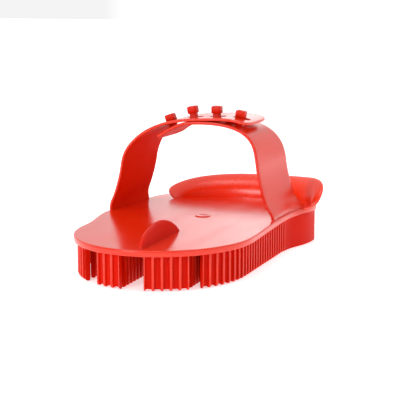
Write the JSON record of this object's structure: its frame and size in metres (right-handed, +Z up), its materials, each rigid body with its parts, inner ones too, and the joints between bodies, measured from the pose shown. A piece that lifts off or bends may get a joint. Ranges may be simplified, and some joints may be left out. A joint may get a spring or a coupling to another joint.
{
  "type": "curry comb",
  "caption": "Flexible plastic curry comb: rounded plate with ribbed rows of short teeth underneath, upturned finger lip, thumb fin and an arched two-part hand strap closed by pegs in slots.",
  "frame": {"origin": "under the middle of the whole object, at the level of the tips of the teeth", "axes": "+Z up through the plate towards the strap, +Y from the thumb fin to the finger lip, +X across the plate"},
  "size_m": [0.1196, 0.19, 0.0872],
  "materials": {
    "moulding": "glossy moulded red plastic",
    "teeth": "glossy moulded red plastic, ribbed",
    "strap": "glossy flexible red plastic",
    "pegs": "satin moulded red plastic"
  },
  "bodies": {
    "comb_body": {"base_plate": "moulding", "finger_lip": "moulding", "thumb_fin": "moulding", "outer_row_front_right": "teeth", "outer_row_side_right": "teeth", "outer_row_heel_right": "teeth", "outer_row_return_right": "teeth", "inner_row_front_right": "teeth", "inner_row_outside_right": "teeth", "inner_row_inside_right": "teeth", "outer_row_front_left": "teeth", "outer_row_side_left": "teeth", "outer_row_heel_left": "teeth", "outer_row_return_left": "teeth", "inner_row_front_left": "teeth", "inner_row_outside_left": "teeth", "inner_row_inside_left": "teeth", "rear_row": "teeth"},
    "outer_leg": {"strap_outer_leg": "strap"},
    "outer_band": {"strap_outer_band": "strap"},
    "inner_half": {"strap_inner_half": "strap", "strap_peg_1": "pegs", "strap_peg_2": "pegs", "strap_peg_3": "pegs", "strap_peg_4": "pegs"}
  },
  "joints": [
    {"name": "outer_root_bend", "type": "hinge", "parent": "comb_body", "child": "outer_leg", "pos_m": [-0.05757, 0.0326, 0.0234], "axis": [0, -1, 0], "range_deg": [0, 26], "stiffness_Nm_per_rad": 0.5},
    {"name": "band_peel", "type": "hinge", "parent": "outer_leg", "child": "outer_band", "pos_m": [-0.03157, 0.0326, 0.074], "axis": [0, -1, 0], "range_deg": [0, 60], "stiffness_Nm_per_rad": 0.3},
    {"name": "inner_root_bend", "type": "hinge", "parent": "comb_body", "child": "inner_half", "pos_m": [0.04433, 0.0326, 0.0232], "axis": [0, -1, 0], "range_deg": [0, 26], "stiffness_Nm_per_rad": 0.5}
  ],
  "couplings": [
    {"joint": "inner_root_bend", "follows": "outer_root_bend", "ratio": 1}
  ]
}
